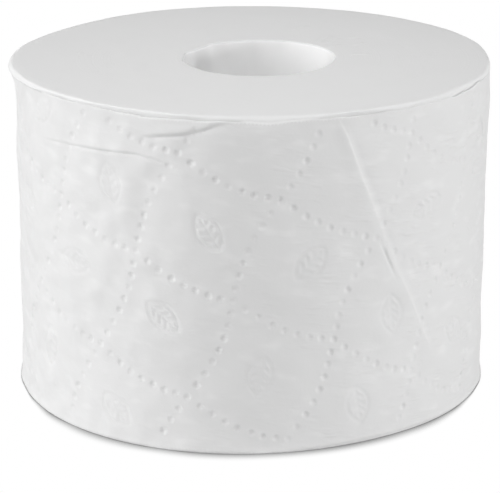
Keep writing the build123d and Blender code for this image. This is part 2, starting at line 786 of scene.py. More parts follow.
@dataclass(frozen=True)
class TissueFinish(Finish):
    """Creped tissue: soft white fibres with no gloss, rippled by the blade that scrapes it off its drum.

    The fibres lie in clouds, so that thin places read a little darker than dense ones. Ripples show in
    patches, more to the right, and crumples show at the left: each reach goes from where they are least to
    where they are most. Real ripples and fibres are too fine to show, so they are drawn wider. Ripples and
    clouds have their sizes along the strip and across it.
    """

    name: str = "creped_tissue"
    roughness: float = 0.95
    specular: float = 0.2
    thin_colour: str = "#E0E0E0"
    dense_colour: str = "#E6E6E6"
    cloud: tuple[float, float] = (8.0 * MM, 4.0 * MM)
    cloud_edges: tuple[float, float] = (0.5, 0.85)
    ripple: tuple[float, float] = (6.0 * MM, 1.6 * MM)
    ripple_edges: tuple[float, float] = (0.45, 0.8)
    ripple_slant: float = 0.1
    ripple_depth: float = 0.18 * MM
    ripple_reach: tuple[float, float] = (-30 * MM, 85 * MM)
    ripple_least: float = 0.15
    patch: float = 14 * MM
    patch_edges: tuple[float, float] = (0.4, 0.65)
    crumple: float = 6.5 * MM
    crumple_depth: float = 1.6 * MM
    crumple_reach: tuple[float, float] = (-12 * MM, -75 * MM)
    crumple_least: float = 0.12
    fibre: float = 1.0 * MM
    fibre_depth: float = 0.025 * MM

    def _surface(self, add: partial) -> tuple[object, list[tuple]]:
        """Adds the colour and the relief, both read from the flat strip's own places.

        Args:
            add: Adds a node to the material's tree.

        Returns:
            The colour, and each layer of relief as its height, depth and strength.
        """
        flat = add("ShaderNodeAttribute", attribute_name="flat").outputs["Vector"]
        slanted = add(
            "ShaderNodeVectorRotate", {"Vector": flat, "Angle": self.ripple_slant}, rotation_type="Z_AXIS"
        )
        shown = []
        patterns = ((self.ripple, self.ripple_edges), (self.cloud, self.cloud_edges))
        for (along, across), (low, high) in patterns:
            drawn = add(
                "ShaderNodeVectorMath", {0: slanted, 1: (1 / along, 1 / across, 1.0)}, operation="MULTIPLY"
            )
            chance = add("ShaderNodeTexNoise", {"Vector": drawn, "Scale": 1.0, "Detail": 1.0})
            shown.append(add(
                "ShaderNodeMapRange", {"Value": chance, "From Min": low, "From Max": high},
                interpolation_type="SMOOTHSTEP",
            ))
        patches, crumples, fibres = (
            add("ShaderNodeTexNoise", {"Vector": flat, "Scale": 1 / size, "Detail": detail})
            for size, detail in ((self.patch, 1.0), (self.crumple, 0.0), (self.fibre, 3.0))
        )
        low, high = self.patch_edges
        patches = add("ShaderNodeMapRange", {"Value": patches, "From Min": low, "From Max": high})
        place = add("ShaderNodeSeparateXYZ", {0: flat})
        right, left = (
            add("ShaderNodeMapRange", {"Value": place, "From Min": start, "From Max": end, "To Min": least})
            for (start, end), least in (
                (self.ripple_reach, self.ripple_least), (self.crumple_reach, self.crumple_least),
            )
        )
        rippled = add("ShaderNodeMath", {0: right, 1: patches}, operation="MULTIPLY")
        colour = add(
            "ShaderNodeMix", {"Factor": shown[1], 6: linear(self.thin_colour), 7: linear(self.dense_colour)},
            data_type="RGBA",
        )
        return colour.outputs[2], [
            (shown[0], self.ripple_depth, rippled), (crumples, self.crumple_depth, left),
            (fibres, self.fibre_depth, 1.0),
        ]


@dataclass(frozen=True)
class CutEdgeFinish(Finish):
    """The end faces: cut edges of hundreds of turns, so close that they read as a soft, faintly ringed felt.

    The rings run round the roll's axis. A turn is too fine to show, so they are drawn wider.
    """

    name: str = "tissue_cut_edges"
    roughness: float = 1.0
    specular: float = 0.1
    colour: str = "#E0E0E0"
    turn: float = 0.5 * MM
    turn_depth: float = 0.03 * MM
    felt: float = 1.1 * MM
    felt_depth: float = 0.04 * MM

    def _surface(self, add: partial) -> tuple[object, list[tuple]]:
        """Adds the rings and the felt.

        Args:
            add: Adds a node to the material's tree.

        Returns:
            The colour, and each layer of relief as its height, depth and strength.
        """
        place = add("ShaderNodeTexCoord").outputs["Object"]
        parts = add("ShaderNodeSeparateXYZ", {0: place})
        level = add("ShaderNodeCombineXYZ", {0: parts, 1: parts.outputs[1]})
        reach = add("ShaderNodeVectorMath", {0: level}, operation="LENGTH").outputs["Value"]
        rings = add(
            "ShaderNodeTexNoise", {"W": reach, "Scale": 1 / self.turn, "Detail": 2.0}, noise_dimensions="1D"
        )
        felt = add("ShaderNodeTexNoise", {"Vector": place, "Scale": 1 / self.felt, "Detail": 3.0})
        return linear(self.colour), [(rings, self.turn_depth, 1.0), (felt, self.felt_depth, 1.0)]


# The innermost turn shows the smooth face of the sheet, with no cut edges and no rings. Its much paler colour
# is painted light: it stands in for the light that the thin tissue lets through and that bounces round inside
# the hole.
INNERMOST_TURN_PAINTED_LIGHT = CutEdgeFinish("innermost_turn", colour="#FBFBFB", felt_depth=0.02 * MM, turn_depth=0.0)


@dataclass(frozen=True)
class Nick:
    """A faint raised line in an end face, from one place to another, in mm.

    The mesh has rows of points along it, at the distances that rows gives in mm, and a little past its ends.
    """

    start: tuple[float, float]
    end: tuple[float, float]
    lift: float = 0.16 * MM
    width: float = 0.45 * MM
    rows: tuple[float, ...] = (-1.0, -0.45, 0.0, 0.45, 1.0)
    steps: int = 10
    overrun: float = 0.1

    def _line(self) -> tuple[np.ndarray, np.ndarray]:
        """The nick's start, and the way from there to its end."""
        start = np.array(self.start) * MM
        return start, np.array(self.end) * MM - start

    def places(self) -> np.ndarray:
        """Spreads rows of places along the nick.

        Returns:
            The places.
        """
        start, way = self._line()
        ahead = way / np.hypot(*way)
        aside = np.array([-ahead[1], ahead[0]])
        steps = np.linspace(-self.overrun, 1 + self.overrun, self.steps)
        return np.array([start + way * step + aside * row * MM for step in steps for row in self.rows])

    def relief(self, places: np.ndarray) -> np.ndarray:
        """Works out how far the nick lifts the end face.

        Args:
            places: Places of the end face, one a row.

        Returns:
            The lift of each place.
        """
        start, way = self._line()
        share = np.clip((places - start) @ way / (way @ way), 0.0, 1.0)
        gap = np.hypot(*(places - start - share[:, None] * way).T)
        return self.lift * np.exp(-((gap / self.width) ** 2))


NICKS = (
    Nick((19.4, 18.8), (23.0, 26.0)), Nick((20.8, 17.5), (25.2, 22.5)), Nick((22.6, 12.5), (25.2, 15.2)),
    Nick((29.3, 24.0), (32.0, 25.4)), Nick((29.9, 15.2), (31.8, 17.6)), Nick((29.0, 3.6), (32.6, 3.9)),
    Nick((12.5, 35.0), (16.0, 39.0)),
)


@dataclass(frozen=True)
class Rim:
    """The top rim, where the outer sheet's edge stops short of the end face.

    At the front the sheet stands off, and a gap opens behind its edge, but not in the stretch round
    closed_at. Above the gap the shoulder rounds over to the end face. At the left, the back and the right the
    soft rim leans out past the wall. The gap's angles are in degrees from the front.
    """

    size: RollSize
    sheet_drop: float = 1.1 * MM
    sheet_thickness: float = 0.25 * MM
    edge_drifts: tuple[Drift, ...] = (Drift(0.5 * MM, 22 * MM, 3.1), Drift(0.3 * MM, 5 * MM, 8.4))
    edge_clearance: float = 0.05 * MM
    edge_reach: float = 6 * MM
    gap_depth: float = 0.7 * MM
    gap_width: float = 0.4 * MM
    gap_taper: float = 0.1 * MM
    gap_inner_share: float = 0.8
    gap_left: float = 40
    gap_right: float = 55
    gap_fade: float = 25
    gap_share: float = 0.6
    gap_drift: Drift = Drift(1.0, 14 * MM, 5.7)
    closed_at: float = 3
    closed_reach: float = 18
    closed_fade: float = 10
    next_turn_rise: float = 0.1 * MM
    shoulder: float = 0.6 * MM
    shoulder_drift: Drift = Drift(0.8, 9 * MM, 2.6)
    shoulder_left: Swell = Swell(0.9 * MM, -90, 30)
    shoulder_front: Swell = Swell(1.0 * MM, 3, 9)
    shoulder_right: Swell = Swell(0.9 * MM, 62, 20)
    shoulder_right_share: float = 0.7
    shoulder_right_drift: Drift = Drift(0.9, 7 * MM, 6.2)
    left_lean: Swell = Swell(2.1 * MM, -89, 24)
    left_reach: float = 4.6 * MM
    left_curve: float = 0.7
    back_lean: float = 1.0 * MM
    back_start: float = math.radians(88)
    back_fade: float = math.radians(30)
    back_reach: float = 22 * MM
    back_flat: Swell = Swell(0.95, -125, 18)
    right_lean: Swell = Swell(0.45 * MM, 90, 40)
    right_start: float = 0.4

    @property
    def sheet_top(self) -> float:
        """Height of the outer sheet's top edge."""
        return self.size.height - self.sheet_drop

    def waver(self, angle: np.ndarray) -> np.ndarray:
        """Works out how far the sheet's top edge rises or falls round the roll, always below the shoulder.

        Args:
            angle: Angles from the front.

        Returns:
            The change in height at each angle.
        """
        places = self.size.circle(angle)
        highest = self.size.height - self.rounding(angle) - self.sheet_top - self.edge_clearance
        return np.minimum(sum(drift.at(places) for drift in self.edge_drifts), highest)

    def openness(self, angle: np.ndarray) -> np.ndarray:
        """Works out how far the sheet's edge stands off the turn inside it.

        Args:
            angle: Angles from the front.

        Returns:
            A share from 0, close, to 1 at each angle.
        """
        turned = from_front(angle)
        reach = np.radians(np.where(turned > 0, self.gap_right, self.gap_left))
        front = 1 - smooth((np.abs(turned) - reach) / math.radians(self.gap_fade))
        past = np.abs(np.degrees(turned) - self.closed_at)
        closed = 1 - smooth(self.closed_reach / self.closed_fade - past / self.closed_fade)
        return front * closed * smooth(self.gap_share + self.gap_drift.at(self.size.circle(angle)))

    def rounding(self, angle: np.ndarray) -> np.ndarray:
        """Works out the shoulder's rounding: small and uneven, larger at the left, the front and the right.

        Args:
            angle: Angles from the front.

        Returns:
            The rounding's radius at each angle.
        """
        places, turned = self.size.circle(angle), from_front(angle)
        uneven = self.shoulder_right_share + self.shoulder_right_drift.at(places)
        right = self.shoulder_right.at(turned) * uneven
        plain = self.shoulder * (1 + self.shoulder_drift.at(places))
        return plain + self.shoulder_left.at(turned) + self.shoulder_front.at(turned) + right

    def lean(self, turned: np.ndarray, height: np.ndarray) -> np.ndarray:
        """Works out how far the rim leans out past the wall: at the left, round the back and at the right.

        Args:
            turned: Angles from the front, by half a turn at most.
            height: Heights above the base.

        Returns:
            The lean of each place.
        """
        below = self.size.height - height
        back = self.back_lean * smooth((np.abs(turned) - self.back_start) / self.back_fade)
        back = back * smooth(1 - below / self.back_reach)
        left = self.left_lean.at(turned) * np.clip(1 - below / self.left_reach, 0.0, 1.0) ** self.left_curve
        risen = np.clip(height / self.size.height - self.right_start, 0.0, 1.0)
        right = self.right_lean.at(turned) * risen / (1 - self.right_start)
        return (1 - self.back_flat.at(turned)) * (left + back) + right

    def rows(self, angle: np.ndarray, radius: np.ndarray) -> list[np.ndarray]:
        """Rows of points from the outer sheet's edge over the gap and the shoulder to the end face.

        Args:
            angle: The columns' angles.
            radius: The wall's radius at the top.

        Returns:
            The rows' points.
        """
        height = self.size.height
        top, stands, rounding = self.sheet_top + self.waver(angle), self.openness(angle), self.rounding(angle)
        inner = radius - (self.sheet_thickness + self.gap_width) * stands
        half = self.sheet_thickness / 2 * stands
        rows = [
            wound(angle, radius - half, top + half),
            wound(angle, radius - 2 * half, top),
            wound(angle, radius - 2 * half - self.gap_taper * stands, top - self.gap_depth * stands),
            wound(angle, inner, top - self.gap_inner_share * self.gap_depth * stands),
            wound(angle, inner, np.minimum(top + self.next_turn_rise, height - rounding)),
        ]
        for turn in quarter(ROUND_STEPS):
            sink = rounding * (1 - math.sin(turn))
            rows.append(wound(angle, inner - rounding * (1 - math.cos(turn)), height - sink))
        return rows


@dataclass(frozen=True)
class Foot:
    """The lower edge, soft and pressed by the roll's weight.

    It spreads at the left with a small lip all round. At the right of the front it draws in and clears the
    ground.
    """

    softness: float = 0.35 * MM
    round_steps: int = 4
    spread: Swell = Swell(1.5 * MM, -35, 45)
    spread_height: float = 22 * MM
    spread_curve: float = 1.3
    lip: float = 0.45 * MM
    lip_height: float = 0.9 * MM
    tuck: Swell = Swell(1.2 * MM, 29, 26)
    tuck_height: float = 13 * MM
    rise: Swell = Swell(0.8 * MM, 29, 26)
    rise_reach: float = 5 * MM

    def swelling(self, turned: np.ndarray, height: np.ndarray) -> np.ndarray:
        """Works out how far the foot spreads or draws in.

        Args:
            turned: Angles from the front, by half a turn at most.
            height: Heights above the base.

        Returns:
            The change in radius of each place.
        """
        held, low = np.maximum(height, 0.0), np.clip(1 - height / self.spread_height, 0.0, 1.0)
        spread = self.spread.at(turned) * low ** self.spread_curve
        tuck = self.tuck.at(turned) * np.exp(-((held / self.tuck_height) ** 2))
        return spread + self.lip * np.exp(-held / self.lip_height) - tuck

    def rows(self, angle: np.ndarray, radius: np.ndarray) -> list[np.ndarray]:
        """Rows of points from the wall round to the bottom end face.

        Args:
            angle: The columns' angles.
            radius: The wall's radius at the bottom.

        Returns:
            The rows' points.
        """
        high = self.softness + self.rise.at(from_front(angle))
        return [
            wound(angle, radius - self.softness * (1 - math.cos(turn)), high * (1 - math.sin(turn)))
            for turn in quarter(self.round_steps)[1:]
        ]


@dataclass(frozen=True)
class Hole:
    """The hole that the drawn spindle left: off centre, soft at both mouths and a little out of round.

    Chance moves its wall in and out: slowly all the way down, and in finer crumples at the left.
    """

    size: RollSize
    columns: int = 150
    depth_rows: int = 26
    top_crowding: float = 0.75
    mouth: float = 0.5 * MM
    wander: float = 0.9 * MM
    wander_drifts: tuple[Drift, ...] = (Drift(1.0, 12 * MM, 1.3), Drift(0.5, 4 * MM, 2.2))
    wander_stretch: float = 60 * MM
    crumple: Swell = Swell(0.7 * MM, -115, 40)
    crumple_drift: Drift = Drift(1.0, 4.5 * MM, 9.3)
    crumple_lift: float = 0.9

    @property
    def mouth_radius(self) -> float:
        """Radius of each mouth where it meets the end face."""
        return self.size.bore_radius + self.mouth

    def _profile(self, top: float) -> list[tuple[float, float]]:
        """Lists how far the hole flares at each height, from its top mouth down, closest at the top.

        Args:
            top: Height of the top mouth.

        Returns:
            Each row's flare and height.
        """
        lip = [
            (self.mouth * (1 - math.sin(turn)), self.mouth * (1 - math.cos(turn)))
            for turn in quarter(ROUND_STEPS)
        ]
        rows = [(flare, top - sink) for flare, sink in lip]
        for step in range(1, self.depth_rows):
            share = step / self.depth_rows
            spread = (1 - self.top_crowding) * share + self.top_crowding * share ** 3
            rows.append((0.0, top - self.mouth - spread * (top - 2 * self.mouth)))
        return rows + lip[::-1]

    def rows(self, top: float) -> list[np.ndarray]:
        """Rows of points from the top mouth to the bottom one.

        Args:
            top: Height of the top mouth.

        Returns:
            The rows' points.
        """
        turn = np.linspace(0, 2 * math.pi, self.columns, endpoint=False)
        radius, crumpled = self.size.bore_radius, self.crumple.at(from_front(turn))
        rows = []
        for flare, height in self._profile(top):
            slow, quick = (
                np.stack([np.sin(turn), np.cos(turn), 0 * turn + lift], 1) * radius
                for lift in (height / self.wander_stretch, self.crumple_lift * height / radius)
            )
            wander = self.wander * sum(drift.at(slow) for drift in self.wander_drifts)
            wander = wander + crumpled * self.crumple_drift.at(quick)
            row = wound(turn, radius + flare + wander, height + 0 * turn)
            row[:, 0] += self.size.bore_shift
            rows.append(row)
        return rows


@dataclass(frozen=True)
class Strip:
    """The outer turn laid flat, from the height of its lower edge to that of its top edge, and its mesh.

    Points lie wide apart on plain paper and close beside the dots, the lines of the leaves and the creases.
    Rings of points go round each dot, given as radius in mm and number. Reaches count from a centre or a
    line, and steps and gaps count in squares of the grid. The free end lifts toward its cut edge.
    """

    size: RollSize
    low: float
    high: float
    tail_angle: float = math.radians(160)
    tail_lift: float = 0.4 * MM
    tail_fade: float = math.radians(50)
    columns: int = 420
    grid: float = 0.45 * MM
    plain_step: int = 4
    fine_step: int = 2
    border_steps: int = 2
    dot_rings: tuple[tuple[float, int], ...] = ((0.4, 6), (0.75, 10), (1.15, 12), (1.55, 12))
    dot_margin: float = 0.8 * MM
    line_step: float = 0.6 * MM
    line_reach: float = 2.0 * MM
    close_line_reach: float = 0.9 * MM
    crease_reach: float = 2.6 * MM
    ring_gap: float = 0.6
    crease_gap: float = 0.7
    crease_dot_gap: float = 0.4
    border_gap: float = 0.8
    edge_rows: tuple[float, ...] = (0.4 * MM, 0.85 * MM, 1.3 * MM)
    creases: tuple[Crease, ...] = (PLEAT, PLEAT_TUCK, LONG_WRINKLE, RIM_FOLD, SIDE_WRINKLE, SIDE_TUCK)

    @property
    def start(self) -> float:
        """Where the outer turn starts, at the free end of the paper, counted along from the roll's front."""
        return (self.tail_angle + math.pi / 2) * self.size.radius - self.size.girth

    @property
    def end(self) -> float:
        """Where the outer turn has gone once round."""
        return self.start + self.size.girth

    @property
    def dot_reach(self) -> float:
        """Radius of the outermost ring of points round a dot."""
        return self.dot_rings[-1][0] * MM

    def relief(self, along: np.ndarray, height: np.ndarray) -> np.ndarray:
        """Works out how far the free end and the creases lift the paper.

        Args:
            along: Places along the strip.
            height: Their heights.

        Returns:
            The lift of each place.
        """
        to_end = (self.end - along) / (self.tail_fade * self.size.radius)
        lift = self.tail_lift * np.clip(1 - to_end, 0.0, 1.0)
        for crease in self.creases:
            lift = lift + crease.relief(along, height)
        return lift

    def _line_places(self, leaves: bpy.types.Object) -> np.ndarray:
        """Spreads places at close steps along the leaves' edges and the creases.

        Args:
            leaves: The stamped leaves.

        Returns:
            The places.
        """
        ends = np.array([v.co.xy for v in leaves.data.vertices])
        pairs = [(ends[e.vertices[0]], ends[e.vertices[1]]) for e in leaves.data.edges]
        for crease in self.creases:
            pairs.extend(crease.stretches)
        found = []
        for first, second in pairs:
            steps = max(int(np.hypot(*(second - first)) / self.line_step), 1)
            found.extend(first + (second - first) * i / steps for i in range(steps + 1))
        return np.array(found)

    def _grid_places(self, dots: np.ndarray, lines: np.ndarray, creased: np.ndarray) -> np.ndarray:
        """Spreads places on a grid: wide apart on plain paper, close beside what is pressed in it.

        Args:
            dots: Dot centres.
            lines: Places along the leaves and creases.
            creased: Places that the creases bring.

        Returns:
            Places inside the strip's border.
        """
        origin, whole = np.array([self.start, self.low]), np.array([self.size.girth, self.high - self.low])
        counts = (whole / self.grid).astype(int)
        steps = whole / counts
        column, row = np.meshgrid(*(np.arange(count + 1) for count in counts), indexing="ij")
        wanted = (column % self.plain_step == 0) & (row % self.plain_step == 0)
        taken = np.zeros_like(wanted)
        for marked, centres, reach, step in (
            (wanted, dots, self.dot_reach + self.dot_margin, self.fine_step),
            (wanted, lines, self.line_reach, self.fine_step),
            (wanted, lines, self.close_line_reach, 1),
            (wanted, creased, self.crease_reach, self.fine_step),
            (taken, dots, self.dot_reach + self.ring_gap * self.grid, 1),
            (taken, creased, self.crease_gap * self.grid, 1),
        ):
            span = math.ceil(reach / self.grid)
            on_step = (column % step == 0) & (row % step == 0)
            for centre in (centres - origin) / steps:
                low = np.maximum(np.floor(centre).astype(int) - span, 0)
                high = np.minimum(np.ceil(centre).astype(int) + span, counts) + 1
                part = (slice(low[0], high[0]), slice(low[1], high[1]))
                gap = np.hypot((column[part] - centre[0]) * steps[0], (row[part] - centre[1]) * steps[1])
                marked[part] |= (gap < reach) & on_step[part]
        inside, edge = np.zeros_like(wanted), self.border_steps
        inside[edge:-edge, edge:-edge] = True
        return origin + np.argwhere(wanted & ~taken & inside) * steps

    def places(self, dots: bpy.types.Object, leaves: bpy.types.Object) -> tuple[np.ndarray, int]:
        """Lists every place of the strip's mesh.

        Args:
            dots: The stamped dots.
            leaves: The stamped leaves.

        Returns:
            The places, the border first, and how many border places each end has between its corners.
        """
        centres = np.array([v.co.xy for v in dots.data.vertices])
        rows = int((self.high - self.low) / (self.plain_step * self.grid))
        along = np.linspace(self.start, self.end, self.columns + 1)
        height = np.linspace(self.low, self.high, rows + 1)[1:-1]
        border = [paired(along, edge) for edge in (self.low, self.high)]
        border.extend(paired(edge, height) for edge in (self.start, self.end))
        inner = [centres]
        for reach, count in self.dot_rings:
            turn = 2 * math.pi * np.arange(count) / count
            ring = reach * MM * np.stack([np.cos(turn), np.sin(turn)], 1)
            inner.append((centres[:, None, :] + ring).reshape(-1, 2))
        creased = np.concatenate([crease.places() for crease in self.creases])
        apart = np.array([np.hypot(*(centres - place).T).min() for place in creased])
        inner.append(creased[apart > self.dot_reach + self.crease_dot_gap * self.grid])
        for step, inset in enumerate(self.edge_rows):
            row = (along[:-1] + along[1:]) / 2 if step % 2 == 0 else along
            inner.extend(paired(row, edge) for edge in (self.low + inset, self.high - inset))
        inner.append(self._grid_places(centres, self._line_places(leaves), creased))
        inner = np.concatenate(inner)
        margin = self.border_gap * self.grid
        past_start = inner > (self.start + margin, self.low + margin)
        inside = (past_start & (inner < (self.end - margin, self.high - margin))).all(axis=1)
        return np.concatenate([*border, inner[inside]]), len(height)


@dataclass
class Surface:
    """Points and faces of one closed surface, gathered ring by ring."""

    points: list[np.ndarray]
    faces: list[tuple[int, ...]]

    @property
    def count(self) -> int:
        """How many points it has so far."""
        return sum(len(row) for row in self.points)

    def add_ring(self, row: np.ndarray) -> list[int]:
        """Adds a ring of points.

        Args:
            row: The points.

        Returns:
            Their numbers.
        """
        before = self.count
        self.points.append(row)
        return list(range(before, before + len(row)))

    def add_rings(self, rows: list[np.ndarray], open_ring: list[int] | None = None) -> list[list[int]]:
        """Adds closed rings and joins each to the next.

        Args:
            rows: The rings' points.
            open_ring: A row of the strip from end to end. The first ring is joined to it, over the step of
                the free end.

        Returns:
            The rings' numbers.
        """
        rings = [self.add_ring(row) for row in rows]
        if open_ring:
            closed = rings[0] + rings[0][:1]
            self.faces.extend(zip(open_ring, open_ring[1:], closed[1:], closed))
            self.faces.append((open_ring[-1], open_ring[0], closed[0]))
        for first, second in zip(rings, rings[1:]):
            self.faces.extend(zip(first, first[1:] + first[:1], second[1:] + second[:1], second))
        return rings


@dataclass(frozen=True)
class WoundPaper:
    """The roll itself, one closed surface: the outer turn, the rim, the foot, the end faces and the hole.

    The top end face dips toward the hole, and the bottom one stands a little off the ground.
    """

    size: RollSize
    strip: Strip
    rim: Rim
    foot: Foot
    hole: Hole
    face_rings: int = 26
    face_inset: float = 0.6 * MM
    dish_radius: float = 58 * MM
    dish: float = 0.25 * MM
    unevenness: Drift = Drift(0.06 * MM, 9 * MM, 4.4)
    even_mouth: float = 4 * MM
    nick_gap: float = 0.5 * MM
    nick_clearance: float = 1.5 * MM
    bottom_lift: float = 0.15 * MM
    relief_fade: float = 3.5 * MM
    least_relief: float = 0.01

    def _spread(self, angle: np.ndarray, height: np.ndarray) -> np.ndarray:
        """How far the soft paper spreads past the wall, at the rim and round the foot."""
        turned = from_front(angle)
        return self.rim.lean(turned, height) + self.foot.swelling(turned, height)

    def _wound_strip(self, places: np.ndarray) -> np.ndarray:
        """Winds the strip's places to the wall, with the wavering of its edges.

        Args:
            places: Places on the flat strip.

        Returns:
            The points.
        """
        along, height = places.T
        angle = along / self.size.radius
        radius = self.size.radius + self.strip.relief(along, height) + self._spread(angle, height)
        near_edge = smooth((height - self.rim.sheet_top + self.rim.edge_reach) / self.rim.edge_reach)
        near_ground = smooth(1 - height / self.foot.rise_reach)
        waver = self.rim.waver(angle) * near_edge + self.foot.rise.at(from_front(angle)) * near_ground
        return wound(angle, radius, height + waver)

    def _face_places(self, top: bool) -> np.ndarray:
        """Spreads places over an end face: rings between the hole and the rim, and rows along the nicks.

        Args:
            top: True for the top face, which alone has nicks.

        Returns:
            The places.
        """
        centre, mouth = np.array([self.size.bore_shift, 0.0]), self.hole.mouth_radius
        steps = self.face_rings if top else self.face_rings // 2
        height = self.size.height if top else 0.0
        rings = []
        for step in range(1, steps):
            share = step / steps
            number = int(self.hole.columns + (self.strip.columns - self.hole.columns) * share)
            turn = 2 * math.pi * (np.arange(number) + 0.5 * (step % 2)) / number
            radius = mouth + share * (self.size.radius - self.face_inset - mouth)
            radius = radius + share * (self._spread(turn, height + 0 * turn) - self.rim.rounding(turn))
            rings.append(wound(turn, radius, 0 * turn)[:, :2] + centre * (1 - share))
        places = np.concatenate(rings)
        if not top:
            return places
        nicked = np.concatenate([nick.places() for nick in NICKS])
        nicked = nicked[np.hypot(*(nicked - centre).T) - mouth > self.nick_clearance]
        apart = np.array([np.hypot(*(nicked - place).T).min() for place in places])
        return np.concatenate([places[apart > self.nick_gap], nicked])

    def _face_heights(self, places: np.ndarray, top: bool) -> np.ndarray:
        """Works out an end face's heights: the top one has its dish and nicks, and the bottom one is flat.

        Args:
            places: The face's places.
            top: True for the top face.

        Returns:
            The height of each place.
        """
        if not top:
            return np.full(len(places), self.bottom_lift)
        reach = np.hypot(*places.T)
        past_mouth = np.hypot(*(places - (self.size.bore_shift, 0.0)).T) - self.hole.mouth_radius
        sunk = self.dish * smooth((self.dish_radius - reach) / (self.dish_radius - self.size.bore_radius))
        points = np.column_stack([places, 0 * reach])
        sunk = sunk + self.unevenness.at(points) * smooth(past_mouth / self.even_mouth)
        return self.size.height - sunk + sum(nick.relief(places) for nick in NICKS)

    def _end_face(
        self, outer: np.ndarray, inner: np.ndarray, top: bool
    ) -> tuple[np.ndarray, list[tuple[int, ...]]]:
        """Fills an end face between the rim and the hole's mouth.

        Args:
            outer: The rim's last ring.
            inner: The mouth's ring.
            top: True for the top face.

        Returns:
            The points that are added, and the triangles, counted over outer, inner and the added points.
        """
        flat = self._face_places(top)
        every = np.concatenate([outer[:, :2], inner[:, :2], flat])
        rim, mouth = range(len(outer)), range(len(outer), len(outer) + len(inner))
        sides = [(ring[i - 1], ring[i]) for ring in (rim, mouth) for i in range(len(ring))]
        corners = [Vector(p / MM) for p in every]
        _, _, faces, origins, _, _ = geometry.delaunay_2d_cdt(corners, sides, [], 0, MESH_MARGIN)
        kept = []
        for face in faces:
            triangle = tuple(origins[i][0] for i in face)
            middle = every[list(triangle)].mean(axis=0)
            past_rim = max(triangle) < len(outer) and not encloses(every[rim], middle)
            in_hole = all(i in mouth for i in triangle) and encloses(every[mouth], middle)
            if not past_rim and not in_hole:
                kept.append(triangle)
        return np.column_stack([flat, self._face_heights(flat, top)]), kept

    def build(self, dots: bpy.types.Object, leaves: bpy.types.Object) -> bpy.types.Object:
        """Makes the wound roll before anything is pressed in it.

        Three attributes go with its points: flat is the place on the strip, sheet is 1 on the outer turn and
        fades toward its top edge where that lies close, and hole is 1 inside the hole.

        Args:
            dots: The stamped dots, on the flat strip.
            leaves: The stamped leaves, on the flat strip.

        Returns:
            The closed roll.
        """
        places, side_rows = self.strip.places(dots, leaves)
        LOG.info("strip: %d places", len(places))
        corners = [Vector(p / MM) for p in places]
        _, _, faces, origins, _, _ = geometry.delaunay_2d_cdt(corners, [], [], 0, MESH_MARGIN)
        surface = Surface([self._wound_strip(places)], [tuple(origins[i][0] for i in face) for face in faces])

        # The border comes first: the lower edge, the top edge, and then both ends between their corners.
        row = self.strip.columns + 1
        low_ring, high_ring = list(range(row)), list(range(row, 2 * row))
        starts = ((0, 2 * row), (-1, 2 * row + side_rows))
        left, right = (
            [low_ring[end], *range(start, start + side_rows), high_ring[end]] for end, start in starts
        )
        surface.faces.extend(zip(left, left[1:], right[1:], right))

        angle = places[:, 0] / self.size.radius
        turns = angle[:self.strip.columns]
        top, bottom = (
            self.size.radius + self._spread(turns, height + 0 * turns) for height in (self.size.height, 0.0)
        )
        rim = surface.add_rings(self.rim.rows(turns, top), high_ring)
        foot = surface.add_rings(self.foot.rows(turns, bottom), low_ring)
        bore = surface.add_rings(self.hole.rows(self.size.height - self.dish))
        every = np.concatenate(surface.points)
        for outer, inner, is_top in ((rim[-1], bore[0], True), (foot[-1], bore[-1], False)):
            added, kept = self._end_face(every[outer], every[inner], is_top)
            numbers = outer + inner + surface.add_ring(added)
            surface.faces.extend(tuple(numbers[i] for i in triangle) for triangle in kept)

        flat, sheet, hole = np.zeros((surface.count, 3)), np.zeros(surface.count), np.zeros(surface.count)
        flat[:len(places), :2] = places
        below_edge = smooth((self.rim.sheet_top - places[:, 1]) / self.relief_fade)
        sheet[:len(places)] = np.maximum(below_edge, np.maximum(self.rim.openness(angle), self.least_relief))
        hole[bore[ROUND_STEPS][0]:bore[-1][-1] + 1] = 1.0
        mesh = bpy.data.meshes.new(NODE + "_wound")
        mesh.from_pydata(np.concatenate(surface.points).tolist(), [], surface.faces)
        for name, kind, member, values in (
            ("flat", "FLOAT_VECTOR", "vector", flat), ("sheet", "FLOAT", "value", sheet),
            ("hole", "FLOAT", "value", hole),
        ):
            mesh.attributes.new(name, kind, "POINT").data.foreach_set(member, values.ravel())
        work = bmesh.new()
        work.from_mesh(mesh)
        bmesh.ops.recalc_face_normals(work, faces=work.faces)
        counts = (len(work.verts), len(work.faces), sum(not edge.is_manifold for edge in work.edges))
        LOG.info("wound roll: %d points, %d faces, %d open edges", *counts)
        work.to_mesh(mesh)
        work.free()
        mesh.shade_smooth()
        return placed("wound_paper", mesh)


